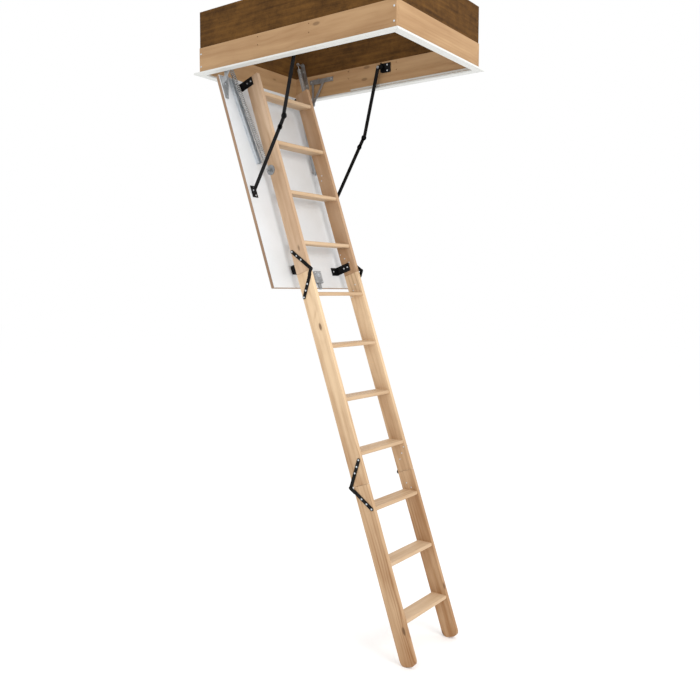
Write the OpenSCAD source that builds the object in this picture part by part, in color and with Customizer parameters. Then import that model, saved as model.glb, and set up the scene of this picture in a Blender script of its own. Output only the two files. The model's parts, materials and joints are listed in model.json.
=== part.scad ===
// Folding attic ladder: a lined ceiling opening, a hatch that swings down on two
// levers, and a three-section timber ladder carried on the hatch.
// X runs along the opening from the hinge end to the free end, Y across it, Z up.
// The origin is the middle of the opening at the ceiling line.

/* [Casing] */
// Outer length of the casing, along the opening
casing_length = 1100; // [1000:10:1400]
// Outer width of the casing
casing_width = 700; // [600:10:900]
// Height of the light casing boards
casing_height = 115; // [100:5:150]
// Thickness of the casing boards
board_t = 20; // [16:1:28]
// Height of the dark surround boards on top of the casing
surround_height = 165; // [120:5:250]
// Thickness of the surround boards
surround_t = 18; // [14:1:24]
// Width of the trim under the casing
trim_width = 40; // [30:1:60]
// Thickness of the trim
trim_t = 8; // [5:1:15]

/* [Hatch] */
// Thickness of the whole hatch
hatch_t = 20; // [18:1:40]
// Thickness of each hatch skin
skin_t = 2; // [2:0.5:4]
// Width of the timber frame inside the hatch
hatch_rail_w = 30; // [20:1:50]
// Gap between the closed hatch and the casing, at each end
hatch_end_gap = 6; // [4:0.5:10]
// Gap between the closed hatch and the casing, at each side
hatch_side_gap = 5; // [3:0.5:10]
// Height of the hatch pivot above the hatch
pivot_height = 34; // [28:1:50]
// Distance of the hatch pivot from the hinge end of the hatch
pivot_setback = 35; // [25:1:60]

/* [Swing levers] */
// Distance between the two pivots of a swing lever
lever_length = 124; // [100:1:150]
// Angle of the lever below the horizontal with the hatch open
lever_open = 73; // [60:1:85]
// Angle of the lever below the horizontal with the hatch shut
lever_shut = 17; // [5:1:25]

/* [Ladder] */
// Angle of the ladder from the horizontal
ladder_angle = 71; // [62:1:75]
// Spacing of the treads along the strings
tread_spacing = 250; // [220:5:280]
// Clear width between the strings
tread_width = 350; // [300:5:450]
// Depth of a tread, front to back
tread_depth = 78; // [60:1:90]
// Thickness of a tread
tread_t = 18; // [15:1:25]
// Thickness of a string
string_t = 20; // [18:1:30]
// Depth of a string, front to back
string_depth = 80; // [80:1:110]
// Distance from the hatch pivot to the first tread, along the strings
first_tread = 92; // [80:1:120]
// Length of string above the first tread
string_head = 106; // [60:1:110]
// Length of string below the last tread
string_foot = 174; // [120:1:220]
// Radius of the corners at the foot
foot_r = 26; // [10:1:35]
// Gap between the hatch and the backs of the strings
standoff = 39; // [30:1:60]

/* [Section hinges] */
// Distance of each section hinge pin outside the edge of the strings
pin_offset = 12; // [10:1:16]
// Length of a hinge leaf from its pin
leaf_length = 146; // [110:1:160]
// Width of a hinge leaf
leaf_w = 17; // [14:1:24]
// Thickness of a hinge leaf
leaf_t = 3; // [2:0.5:4]
// Angle of a hinge leaf from the line of the strings
leaf_angle = 36.5; // [30:0.5:40]

/* [Elbow arms] */
// Length of the upper arm between pivots
upper_arm = 345; // [320:1:370]
// Length by which the two arms together exceed a straight line when open
arm_slack = 7.3; // [4:0.1:12]
// Width of an arm
arm_w = 19; // [12:1:24]
// Thickness of an arm
arm_t = 4; // [3:0.5:6]
// How far an arm's round eyes stand out beyond its edges
arm_eye_rim = 4; // [2:0.5:5]
// Frame pivot of the arm, along the opening from the lever's frame pivot
arm_reach = 387; // [370:1:400]
// Frame pivot of the arm, above the ceiling line
arm_pivot_z = 87; // [80:1:95]
// Hatch pivot of the arm, along the hatch from the hatch pivot
arm_foot = 548; // [540:1:560]
// Height of that pivot above the hatch
arm_foot_height = 14; // [12:1:18]

/* [Springs] */
// Outer radius of the coil
spring_r = 11; // [7:0.5:12]
// Anchor on the string, along it from the hatch pivot
anchor_along = 450; // [400:5:480]
// Top anchor, from the hinge end of the opening
post_x = 46; // [40:1:70]
// Top anchor, above the ceiling line
post_z = 178; // [150:1:200]

/* [Fixing] */
// Middle of the fixing holes, along the opening
fixing_x = -35; // [-60:1:0]
// Spacing of the fixing holes along the opening
fixing_pitch = 292; // [200:1:400]
// Vertical spacing of the fixing holes
fixing_rise = 36; // [30:1:50]
// Radius of a fixing hole
fixing_r = 2.5; // [2:0.5:5]

/* [Hidden] */
$fn = 40;
touch = 0.01;
// Treads in each section, eleven in all as NODES lists them
top_treads = 4;
middle_treads = 4;
bottom_treads = 3;
inner_length = casing_length - 2 * board_t;
inner_width = casing_width - 2 * board_t;
wall_y = inner_width / 2;
hatch_length = inner_length - 2 * hatch_end_gap;
hatch_width = inner_width - 2 * hatch_side_gap;

// Pivots in the X-Z plane
shut_pivot = [-inner_length / 2 + hatch_end_gap + pivot_setback, hatch_t + pivot_height - trim_t];
frame_pivot = shut_pivot + lever_length * [cos(lever_shut), sin(lever_shut)];
open_pivot = frame_pivot - lever_length * [cos(lever_open), sin(lever_open)];

// Heights above the hatch pivot, square to the hatch
hatch_top = -pivot_height;
string_back = hatch_top + standoff;
string_front = string_back + string_depth;
// Places across the ladder
string_in = tread_width / 2;
string_out = string_in + string_t;
string_start = first_tread - string_head;
joint_a = first_tread + (top_treads - 0.5) * tread_spacing;
joint_b = joint_a + middle_treads * tread_spacing;
string_end = joint_b + (bottom_treads - 0.5) * tread_spacing + string_foot;
section_gap = 1;
pin_a = [joint_a, string_front + pin_offset];
pin_b = [joint_b, string_back - pin_offset];

// Hardware
plate_t = 3;
pin_r = 4;
run = 0.06;
tenon_depth = 50;
tenon_l = 8;
screw_r = 1.6;
screw_hole_r = 1.65;
head_r = 4.2;
head_h = 1.6;
leaf_screws = [73, 105, 138];
eye_gap = 0.3;
rivet_head_r = 7;
rivet_head_h = 2;
lever_gap = 2;
lever_y = wall_y - plate_t - lever_gap - plate_t;
ear_y = lever_y - lever_gap - plate_t;
arm_y = wall_y - 22.5;
arm_gap = 0.5;
arm_ear_y = arm_y + arm_t + arm_gap;
low_arm_y = arm_y - arm_t - arm_gap;
foot_ear_y = low_arm_y + arm_t + arm_gap;
arm_pivot = [frame_pivot[0] + arm_reach, arm_pivot_z];
arm_foot_q = hatch_top + arm_foot_height;
post_top = [-inner_length / 2 + post_x, post_z];
post_foot = [post_top[0] + 33, casing_height / 2];
anchor_q = string_back + 13;
anchor_y = string_out + 17;
post_y = wall_y - 40;
lock_p = hatch_length - pivot_setback - 50;
lock_w = 50;
lock_l = 60;
lock_h = 15;
lock_wall = 2;
spindle_r = 9;
key_w = 10;
key_l = 12;
spindle_p = lock_p - 13;
bolt_w = 16;
bolt_h = 8;
bolt_throw = 10;
bolt_back = spindle_p + 23;
bolt_tip = hatch_length - pivot_setback + bolt_throw;
bolt_low = hatch_top + 3;
shut_bolt_z = shut_pivot[1] + bolt_low;
seal_t = 4;
standoff_w = 40;
standoff_foot = 42;
standoff_leg = string_back - hatch_top + 45;
channel_w = 22;
channel_h = 16;
channel_wall = 2;
channel_from = [-28, ear_y - 60];
channel_to = [anchor_along - 50, string_out + 17];

// ---- helpers ----

// A flat plate standing in the X-Z plane, from y0 outwards by t
module upright(y0, t) {
  translate([0, y0 + t, 0])
    rotate([90, 0, 0])
      linear_extrude(t) children();
}

// A round rod along Y, centred on the place c in the X-Z plane
module rod_y(c, r, y0, y1) {
  translate([c[0], y1, c[1]])
    rotate([90, 0, 0])
      cylinder(r = r, h = y1 - y0);
}

// A bar with round ends, drawn flat
module bar(a, b, w) {
  d = b - a;
  translate(a)
    rotate(atan2(d[1], d[0])) {
      translate([0, -w / 2]) square([norm(d), w]);
      circle(w / 2);
      translate([norm(d), 0]) circle(w / 2);
    }
}

// The same piece on the +Y and the -Y side
module pair() {
  children();
  mirror([0, 1, 0]) children();
}

// The frame of the open hatch and ladder: X down the ladder, Z out of its front
module on_hatch() {
  translate([open_pivot[0], 0, open_pivot[1]])
    rotate([0, ladder_angle, 0]) children();
}

module screw_y(c, y, depth) {
  rod_y(c, head_r, y, y + head_h);
  rod_y(c, screw_r, y - depth, y + head_h / 2);
}

module screw_z(x, y, z, depth) {
  translate([x, y, z]) cylinder(r = head_r, h = head_h);
  translate([x, y, z - depth]) cylinder(r = screw_r, h = depth + head_h / 2);
}

// Where the elbow lies with the hatch open
function foot_point() =
  let (c = cos(ladder_angle), s = sin(ladder_angle))
  open_pivot + [arm_foot * c + arm_foot_q * s, -arm_foot * s + arm_foot_q * c];
function lower_arm() = norm(foot_point() - arm_pivot) + arm_slack - upper_arm;
function elbow() =
  let (f = foot_point() - arm_pivot, d = norm(f), lower = lower_arm(),
       a = (upper_arm * upper_arm - lower * lower + d * d) / (2 * d),
       h = sqrt(upper_arm * upper_arm - a * a))
  arm_pivot + a * f / d + h * [-f[1], f[0]] / d;

// ---- casing ----

function fixing_holes() = [
  for (sx = [-0.5, 0.5], sz = [-0.5, 0.5])
    [fixing_x + sx * fixing_pitch, casing_height - 31 + sz * fixing_rise]
];
function corner_screw_z() = [casing_height * 0.25, casing_height * 0.75];
hinge_plate_l = 154;
hinge_plate_w = 22;
hinge_plate_x = frame_pivot[0] - 62;
function hinge_plate_screws() =
  [for (x = [12, hinge_plate_l - 12]) [hinge_plate_x + x, frame_pivot[1]]];
function post_screws() =
  [for (k = [0.1, 0.72]) post_foot + k * (post_top - post_foot)];
bracket_w = 50;
bracket_h = 46;
bracket_x = arm_pivot[0] + 12;
function frame_bracket_screws() =
  [for (k = [-1, 1]) [bracket_x + bracket_w / 2 + 6, arm_pivot_z - 4 + k * 14]];

module long_board() {
  color("burlywood")
    difference() {
      translate([-casing_length / 2, wall_y, 0])
        cube([casing_length, board_t, casing_height]);
      for (c = fixing_holes())
        rod_y(c, fixing_r, wall_y - 1, wall_y + board_t + 1);
      for (sx = [-1, 1], z = corner_screw_z())
        rod_y([sx * (casing_length - board_t) / 2, z], screw_hole_r, wall_y - 1,
              wall_y + board_t + 1);
      for (c = concat(hinge_plate_screws(), frame_bracket_screws(), [post_screws()[0]]))
        rod_y(c, screw_hole_r, wall_y - 1, wall_y + 14);
    }
}
module casing_right_board() { long_board(); }
module casing_left_board() { mirror([0, 1, 0]) long_board(); }

module short_board(x) {
  difference() {
    translate([x, -wall_y, 0]) cube([board_t, inner_width, casing_height]);
    for (sy = [-1, 1], z = corner_screw_z())
      rod_y([x + board_t / 2, z], screw_hole_r, sy * wall_y - 22, sy * wall_y + 22);
  }
}
module casing_hinge_board() { color("burlywood") short_board(-casing_length / 2); }
module casing_front_board() {
  color("burlywood")
    difference() {
      short_board(inner_length / 2);
      translate([inner_length / 2 - 1, -bolt_w / 2 - 2, shut_bolt_z - 3])
        cube([15, bolt_w + 4, bolt_h + 6]);
      for (sy = [-1, 1])
        translate([inner_length / 2 - 1, sy * 20, shut_bolt_z + bolt_h / 2])
          rotate([0, 90, 0]) cylinder(r = screw_hole_r, h = 15);
    }
}

module trim_side(run_length, across) {
  translate([0, 0, -trim_t])
    linear_extrude(trim_t)
      polygon([
        [-run_length / 2, across / 2], [run_length / 2, across / 2],
        [run_length / 2 + trim_width, across / 2 + trim_width],
        [-run_length / 2 - trim_width, across / 2 + trim_width]
      ]);
}
module trim_right() { color("whitesmoke") trim_side(inner_length, inner_width); }
module trim_left() { mirror([0, 1, 0]) trim_right(); }
module trim_front() {
  color("whitesmoke") rotate([0, 0, -90]) trim_side(inner_width, inner_length);
}
module trim_hinge_end() { mirror([1, 0, 0]) trim_front(); }

module surround_boards() {
  color("saddlebrown") {
    pair()
      difference() {
        translate([-inner_length / 2 - surround_t, wall_y, casing_height])
          cube([inner_length + 2 * surround_t, surround_t, surround_height]);
        rod_y(post_screws()[1], screw_hole_r, wall_y - 1, wall_y + 14);
      }
    for (x = [-inner_length / 2 - surround_t, inner_length / 2])
      translate([x, -wall_y, casing_height])
        cube([surround_t, inner_width, surround_height]);
  }
}

module casing_seal() {
  seal_from = arm_pivot[0] - 180;
  seal_h = 8;
  color("dimgray") {
    translate([inner_length / 2 - seal_t, -wall_y + seal_t, 1])
      cube([seal_t, inner_width - 2 * seal_t, seal_h]);
    pair()
      translate([seal_from, wall_y - seal_t, 1])
        cube([inner_length / 2 - seal_from, seal_t, seal_h]);
  }
}

module frame_screws() {
  color("silver") {
    pair() {
      for (sx = [-1, 1], z = corner_screw_z())
        screw_y([sx * (casing_length - board_t) / 2, z], wall_y + board_t, 40);
      for (c = concat(hinge_plate_screws(), frame_bracket_screws(), post_screws()))
        screw_into_wall(c);
    }
    for (sy = [-1, 1])
      translate([inner_length / 2 - plate_t, sy * 20, shut_bolt_z + bolt_h / 2])
        rotate([0, 90, 0]) {
          translate([0, 0, -head_h]) cylinder(r = head_r, h = head_h);
          translate([0, 0, -head_h / 2]) cylinder(r = screw_r, h = 14);
        }
  }
}
// A screw through a plate on the inner face of a long board
module screw_into_wall(c) {
  face = wall_y - plate_t;
  rod_y(c, head_r, face - head_h, face);
  rod_y(c, screw_r, face - head_h / 2, face + 14);
}

module hinge_plates() {
  color("silver")
    pair()
      difference() {
        upright(wall_y - plate_t, plate_t)
          translate([hinge_plate_x, frame_pivot[1] - hinge_plate_w / 2])
            square([hinge_plate_l, hinge_plate_w]);
        for (c = hinge_plate_screws())
          rod_y(c, screw_hole_r, wall_y - 5, wall_y + 1);
        rod_y(frame_pivot, pin_r, wall_y - 5, wall_y + 1);
      }
}

module spring_posts() {
  color("silver")
    pair() {
      difference() {
        upright(wall_y - plate_t, plate_t) bar(post_foot, post_top, 24);
        for (c = post_screws())
          rod_y(c, screw_hole_r, wall_y - 5, wall_y + 1);
      }
      rod_y(post_top, pin_r, post_y - 5, wall_y - plate_t);
      rod_y(post_top, pin_r + 2, post_y - 7, post_y - 5);
    }
}

module arm_frame_brackets() {
  color("black")
    pair()
      difference() {
        union() {
          upright(wall_y - plate_t, plate_t)
            translate([bracket_x, arm_pivot_z - 4 - bracket_h / 2])
              square([bracket_w, bracket_h]);
          upright(arm_ear_y, plate_t) {
            bar(arm_pivot, arm_pivot + [14, 0], 22);
            translate([bracket_x, arm_pivot_z - 4 - bracket_h / 2])
              square([plate_t, bracket_h]);
          }
          upright(arm_ear_y + touch, wall_y - touch - arm_ear_y)
            translate([bracket_x, arm_pivot_z - 4 - bracket_h / 2])
              square([plate_t, bracket_h]);
        }
        for (c = frame_bracket_screws())
          rod_y(c, screw_hole_r, wall_y - 5, wall_y + 1);
        rod_y(arm_pivot, pin_r, arm_ear_y - 1, arm_ear_y + plate_t + 1);
      }
}

module frame_pivot_pins() {
  color("silver")
    pair() {
      rod_y(frame_pivot, pin_r, lever_y - 0.8, wall_y);
      rod_y(frame_pivot, pin_r + 3, lever_y - 2.8, lever_y - 0.8);
      rod_y(arm_pivot, pin_r, arm_y - 0.3, arm_ear_y + plate_t);
      rod_y(arm_pivot, pin_r + 3, arm_y - 2.3, arm_y - 0.3);
    }
}

module strike_plate() {
  color("silver")
    difference() {
      translate([inner_length / 2 - plate_t, -30, shut_bolt_z - 5])
        cube([plate_t, 60, bolt_h + 10]);
      translate([inner_length / 2 - 5, -bolt_w / 2 - 2, shut_bolt_z - 3])
        cube([10, bolt_w + 4, bolt_h + 6]);
      for (sy = [-1, 1])
        translate([inner_length / 2 - 5, sy * 20, shut_bolt_z + bolt_h / 2])
          rotate([0, 90, 0]) cylinder(r = screw_hole_r, h = 10);
    }
}

// ---- swing levers ----

module swing_levers() {
  left = frame_pivot + [-40, -9];
  right = frame_pivot + [30, -9];
  color("silver")
    pair()
      difference() {
        upright(lever_y, plate_t) {
          bar(left, open_pivot, 13);
          bar(right, open_pivot, 13);
          bar(left, right, 13);
          translate(frame_pivot) circle(13);
          translate(open_pivot) circle(12);
        }
        rod_y(frame_pivot, pin_r + run, lever_y - 1, lever_y + plate_t + 1);
        rod_y(open_pivot, pin_r + run, lever_y - 1, lever_y + plate_t + 1);
      }
}

// ---- hatch ----

hatch_from = -pivot_setback;
hatch_to = hatch_length - pivot_setback;
function hatch_plate_screws() = [[-18, ear_y - 18], [8, ear_y - 18], [74, ear_y - 10]];
function top_standoff_screw() = [8, string_out + plate_t + 26];
function bottom_standoff_screw() = [joint_a - 38, string_in - plate_t - 26];
arm_plate_l = 56;
arm_plate_w = 34;
function arm_plate_screws() =
  [for (k = [-1, 1]) [arm_foot + k * 19, low_arm_y - 14]];
function channel_at(k) = channel_from + k * (channel_to - channel_from);
function channel_screws() = [for (k = [0.12, 0.5, 0.92]) channel_at(k)];
function plate_screws() =
  concat(hatch_plate_screws(), [top_standoff_screw(), bottom_standoff_screw()],
         arm_plate_screws());

// Everything that is drilled into the hatch from its upper face
module hatch_drillings() {
  pair()
    for (c = concat(plate_screws(), channel_screws()))
      translate([c[0], c[1], hatch_top - 10]) cylinder(r = screw_hole_r, h = 20);
  translate([spindle_p, 0, hatch_top - hatch_t - 1])
    cylinder(r = spindle_r + run, h = hatch_t + 2);
}

module hatch_upper_skin() {
  color("gainsboro")
    on_hatch()
      difference() {
        translate([hatch_from, -hatch_width / 2, hatch_top - skin_t])
          cube([hatch_length, hatch_width, skin_t]);
        hatch_drillings();
      }
}
module hatch_lower_skin() {
  color("white")
    on_hatch()
      difference() {
        translate([hatch_from, -hatch_width / 2, hatch_top - hatch_t])
          cube([hatch_length, hatch_width, skin_t]);
        hatch_drillings();
      }
}
module hatch_long_rails() {
  color("peru")
    on_hatch()
      difference() {
        pair()
          translate([hatch_from, hatch_width / 2 - hatch_rail_w, hatch_top - hatch_t + skin_t])
            cube([hatch_length, hatch_rail_w, hatch_t - 2 * skin_t]);
        hatch_drillings();
      }
}
module hatch_short_rails() {
  across = hatch_width - 2 * hatch_rail_w;
  color("peru")
    on_hatch()
      difference() {
        for (p = [hatch_from, hatch_to - 2 * hatch_rail_w])
          translate([p, -across / 2, hatch_top - hatch_t + skin_t])
            cube([hatch_rail_w * (p == hatch_from ? 1 : 2), across, hatch_t - 2 * skin_t]);
        hatch_drillings();
      }
}
module hatch_insulation() {
  across = hatch_width - 2 * hatch_rail_w;
  color("ivory")
    on_hatch()
      difference() {
        translate([hatch_from + hatch_rail_w, -across / 2, hatch_top - hatch_t + skin_t])
          cube([hatch_length - 3 * hatch_rail_w, across, hatch_t - 2 * skin_t]);
        hatch_drillings();
      }
}

module hatch_hinge_plates() {
  color("silver")
    on_hatch()
      pair()
        difference() {
          union() {
            translate([0, 0, hatch_top])
              linear_extrude(plate_t)
                polygon([
                  [-30, ear_y - 38], [-30, ear_y + plate_t], [84, ear_y + plate_t],
                  [84, ear_y - 16], [66, ear_y - 20], [14, ear_y - 38]
                ]);
            upright(ear_y, plate_t) {
              translate([-22, hatch_top]) square([44, 12]);
              translate([-13, hatch_top]) square([26, pivot_height]);
              circle(13);
            }
          }
          for (c = hatch_plate_screws())
            translate([c[0], c[1], hatch_top - 1]) cylinder(r = screw_hole_r, h = 6);
          rod_y([0, 0], pin_r, ear_y - 1, ear_y + plate_t + 1);
        }
}

module spring_channels() {
  run_v = channel_to - channel_from;
  color("silver")
    on_hatch()
      pair()
        difference() {
          translate([channel_from[0], channel_from[1], hatch_top])
            rotate([0, 0, atan2(run_v[1], run_v[0])])
              difference() {
                translate([0, -channel_w / 2, 0]) cube([norm(run_v), channel_w, channel_h]);
                translate([-1, -channel_w / 2 + channel_wall, channel_wall])
                  cube([norm(run_v) + 2, channel_w - 2 * channel_wall, channel_h]);
              }
          for (c = channel_screws())
            translate([c[0], c[1], hatch_top - 1]) cylinder(r = screw_hole_r, h = 6);
        }
}

// An angle bracket: one leg on the string, one foot on the hatch
module standoff_bracket(p, face, out) {
  leg_y = out > 0 ? face : face - plate_t;
  foot_y = out > 0 ? face : face - standoff_foot;
  translate([p - standoff_w / 2, leg_y, hatch_top])
    cube([standoff_w, plate_t, standoff_leg]);
  translate([p - standoff_w / 2, foot_y, hatch_top])
    cube([standoff_w, standoff_foot, plate_t]);
}
function standoff_screw_q() = [string_back + 12, string_back + 34];
module top_standoffs() {
  color("black")
    on_hatch()
      pair()
        difference() {
          standoff_bracket(top_standoff_screw()[0], string_out, 1);
          translate([top_standoff_screw()[0], top_standoff_screw()[1], hatch_top - 1])
            cylinder(r = screw_hole_r, h = 6);
          for (q = standoff_screw_q())
            rod_y([top_standoff_screw()[0], q], screw_hole_r, string_out - 1, string_out + 5);
        }
}
module bottom_standoffs() {
  color("black")
    on_hatch()
      pair()
        difference() {
          standoff_bracket(bottom_standoff_screw()[0], string_in, -1);
          translate([bottom_standoff_screw()[0], bottom_standoff_screw()[1], hatch_top - 1])
            cylinder(r = screw_hole_r, h = 6);
          for (q = standoff_screw_q())
            rod_y([bottom_standoff_screw()[0], q], screw_hole_r, string_in - 5, string_in + 1);
        }
}

module arm_hatch_brackets() {
  color("black")
    on_hatch()
      pair()
        difference() {
          union() {
            translate([arm_foot - arm_plate_l / 2, foot_ear_y + plate_t - arm_plate_w, hatch_top])
              cube([arm_plate_l, arm_plate_w, plate_t]);
            upright(foot_ear_y, plate_t) {
              translate([arm_foot - 12, hatch_top]) square([24, arm_foot_height]);
              translate([arm_foot, arm_foot_q]) circle(12);
            }
          }
          for (c = arm_plate_screws())
            translate([c[0], c[1], hatch_top - 1]) cylinder(r = screw_hole_r, h = 6);
          rod_y([arm_foot, arm_foot_q], pin_r, foot_ear_y - 1, foot_ear_y + plate_t + 1);
        }
}

module hatch_pivot_pins() {
  color("silver")
    on_hatch()
      pair() {
        rod_y([0, 0], pin_r, ear_y, lever_y + plate_t + 0.3);
        rod_y([0, 0], pin_r + 2.5, lever_y + plate_t + 0.3, lever_y + plate_t + 1);
        rod_y([0, 0], pin_r + 2.5, ear_y - 2, ear_y);
        rod_y([arm_foot, arm_foot_q], pin_r, low_arm_y - 0.3, foot_ear_y + plate_t);
        rod_y([arm_foot, arm_foot_q], pin_r + 3, low_arm_y - 2.3, low_arm_y - 0.3);
      }
}

module spring_anchors() {
  c = [anchor_along, anchor_q];
  teeth = 16;
  color("lightsteelblue")
    on_hatch()
      pair() {
        difference() {
          upright(string_out, plate_t)
            translate(c)
              difference() {
                circle(24);
                for (k = [0:teeth - 1])
                  rotate(k * 360 / teeth) translate([24.5, 0]) circle(2);
              }
          rod_y(c, pin_r, string_out - 1, string_out + 5);
        }
        rod_y(c, pin_r, string_out - 12, anchor_y + 6);
        rod_y(c, pin_r + 5, string_out + plate_t, string_out + plate_t + 4);
        rod_y(c, pin_r + 3, anchor_y + 6, anchor_y + 8);
      }
}

// ---- lock ----

module lock_case() {
  color("silver")
    on_hatch()
      difference() {
        translate([lock_p - lock_l / 2, -lock_w / 2, hatch_top])
          cube([lock_l, lock_w, lock_h]);
        translate([lock_p - lock_l / 2 + lock_wall, -lock_w / 2 + lock_wall, hatch_top - 1])
          cube([lock_l - 2 * lock_wall, lock_w - 2 * lock_wall, lock_h + 1 - lock_wall]);
        translate([lock_p, -bolt_w / 2 - 0.3, bolt_low - 0.3])
          cube([lock_l, bolt_w + 0.6, bolt_h + 0.6]);
        translate([spindle_p, 0, hatch_top])
          cylinder(r = spindle_r - 2 + run, h = lock_h + 1);
      }
}
module lock_rosette() {
  color("silver")
    on_hatch()
      difference() {
        translate([spindle_p, 0, hatch_top - hatch_t - plate_t])
          cylinder(r = 22, h = plate_t);
        translate([spindle_p, 0, hatch_top - hatch_t - plate_t - 1])
          cylinder(r = spindle_r + run, h = plate_t + 2);
      }
}
module lock_spindle() {
  low = hatch_top - hatch_t - plate_t;
  color("gray")
    on_hatch()
      translate([spindle_p, 0, low])
        union() {
          cylinder(r = spindle_r, h = hatch_t + plate_t + 9);
          cylinder(r = spindle_r - 2, h = hatch_t + plate_t + lock_h + 1);
          translate([-2, 0, hatch_t + plate_t + 2]) cube([4, 12.5, 6]);
          translate([-key_w / 2, -key_w / 2, -key_l]) cube([key_w, key_w, key_l]);
        }
}
module lock_bolt() {
  color("gray")
    on_hatch()
      translate([bolt_back, -bolt_w / 2, bolt_low])
        cube([bolt_tip - bolt_back, bolt_w, bolt_h]);
}

// ---- springs and elbow arms ----

function anchor_point() =
  let (c = cos(ladder_angle), s = sin(ladder_angle))
  open_pivot + [anchor_along * c + anchor_q * s, -anchor_along * s + anchor_q * c];
module springs() {
  low = [anchor_point()[0], anchor_y, anchor_point()[1]];
  high = [post_top[0], post_y, post_top[1]];
  d = low - high;
  reach = norm(d);
  hook = pin_r + 0.4;
  color("dimgray")
    pair()
      translate(high)
        rotate([0, acos(d[2] / reach), atan2(d[1], d[0])]) {
          difference() {
            translate([0, 0, 30]) cylinder(r = spring_r, h = reach - 75);
            translate([0, 0, 33]) cylinder(r = spring_r - 2, h = reach - 81);
          }
          translate([0, 0, hook]) cylinder(r = 1.6, h = 30 - hook);
          translate([0, 0, reach - 45]) cylinder(r = 1.6, h = 45 - hook);
        }
}

module upper_elbow_arms() {
  e = elbow();
  color("black")
    pair()
      difference() {
        union() {
          upright(arm_y, arm_t) {
            bar(arm_pivot, e, arm_w);
            translate(e) circle(arm_w / 2 + arm_eye_rim);
          }
          rod_y(e, 6, arm_y + arm_t, arm_y + arm_t + 3);
        }
        rod_y(arm_pivot, pin_r + run, arm_y - 1, arm_y + arm_t + 1);
      }
}

module lower_elbow_arms() {
  e = elbow();
  f = foot_point();
  low_y = low_arm_y;
  stop = e + 52 * (f - e) / norm(f - e);
  color("black")
    pair()
      difference() {
        union() {
          upright(low_y, arm_t) {
            bar(e, f, arm_w);
            translate(e) circle(arm_w / 2 + arm_eye_rim);
            translate(stop) circle(arm_w / 2 + arm_eye_rim);
          }
          rod_y(e, 6, low_y - 3, low_y);
          rod_y(stop, 6, low_y - 3, low_y);
        }
        rod_y(f, pin_r + run, low_y - 1, low_y + arm_t + 1);
      }
}

// ---- ladder ----

// A tread, level when the ladder is open; its tenons are let into the strings
module tread_shape(k) {
  p = first_tread + (k - 1) * tread_spacing;
  q = string_front - tread_t * cos(ladder_angle) - 0.2;
  translate([p, 0, q])
    rotate([0, -ladder_angle, 0]) {
      translate([-tread_depth, -string_in, 0]) cube([tread_depth, tread_width, tread_t]);
      tread_tenons();
    }
}
module tread_tenons() {
  translate([-(tread_depth + tenon_depth) / 2, -string_in - tenon_l, 0])
    cube([tenon_depth, tread_width + 2 * tenon_l, tread_t]);
}
module tread(k) { color("burlywood") on_hatch() tread_shape(k); }
module tread_1() { tread(1); }
module tread_2() { tread(2); }
module tread_3() { tread(3); }
module tread_4() { tread(4); }
module tread_5() { tread(5); }
module tread_6() { tread(6); }
module tread_7() { tread(7); }
module tread_8() { tread(8); }
module tread_9() { tread(9); }
module tread_10() { tread(10); }
module tread_11() { tread(11); }

// Screw places of a leaf that leaves pin c in the direction [along, into]
function leaf_screw_places(c, along, into) = [
  for (d = leaf_screws)
    c + d * [along * cos(leaf_angle), into * sin(leaf_angle)]
];
function top_string_screws() = leaf_screw_places(pin_a, -1, -1);
function middle_string_screws() =
  concat(leaf_screw_places(pin_a, 1, -1), leaf_screw_places(pin_b, -1, 1));
function bottom_string_screws() = leaf_screw_places(pin_b, 1, 1);

// One string on the +Y side, between p0 and p1, with housings for treads k0 to k1
module string_shape(p0, p1, k0, k1, foot, screws) {
  difference() {
    upright(string_in, string_t)
      if (foot) {
        translate([p0, string_back]) square([p1 - p0 - foot_r, string_depth]);
        translate([p1 - foot_r - touch, string_back + foot_r])
          square([foot_r + touch, string_depth - 2 * foot_r]);
        for (q = [string_back + foot_r, string_front - foot_r])
          translate([p1 - foot_r, q]) circle(foot_r);
      } else
        translate([p0, string_back]) square([p1 - p0, string_depth]);
    for (k = [k0:k1])
      translate([first_tread + (k - 1) * tread_spacing, 0,
                 string_front - tread_t * cos(ladder_angle) - 0.2])
        rotate([0, -ladder_angle, 0]) tread_tenons();
    for (c = screws)
      rod_y(c, screw_hole_r, string_out - 13, string_out + 1);
  }
}
module top_string() {
  on_hatch()
    difference() {
      string_shape(string_start, joint_a - section_gap / 2, 1, top_treads, false,
                   top_string_screws());
      rod_y([anchor_along, anchor_q], pin_r, string_out - 12, string_out + 1);
      for (q = standoff_screw_q()) {
        rod_y([top_standoff_screw()[0], q], screw_hole_r, string_out - 13, string_out + 1);
        rod_y([bottom_standoff_screw()[0], q], screw_hole_r, string_in - 1, string_in + 13);
      }
    }
}
module middle_string() {
  on_hatch()
    string_shape(joint_a + section_gap / 2, joint_b - section_gap / 2, top_treads + 1,
                 top_treads + middle_treads, false, middle_string_screws());
}
module bottom_string() {
  on_hatch()
    string_shape(joint_b + section_gap / 2, string_end, top_treads + middle_treads + 1,
                 top_treads + middle_treads + bottom_treads, true, bottom_string_screws());
}
module top_right_string() { color("sandybrown") top_string(); }
module top_left_string() { mirror([0, 1, 0]) top_right_string(); }
module middle_right_string() { color("burlywood") middle_string(); }
module middle_left_string() { mirror([0, 1, 0]) middle_right_string(); }
module bottom_right_string() { color("tan") bottom_string(); }
module bottom_left_string() { mirror([0, 1, 0]) bottom_right_string(); }

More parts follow.
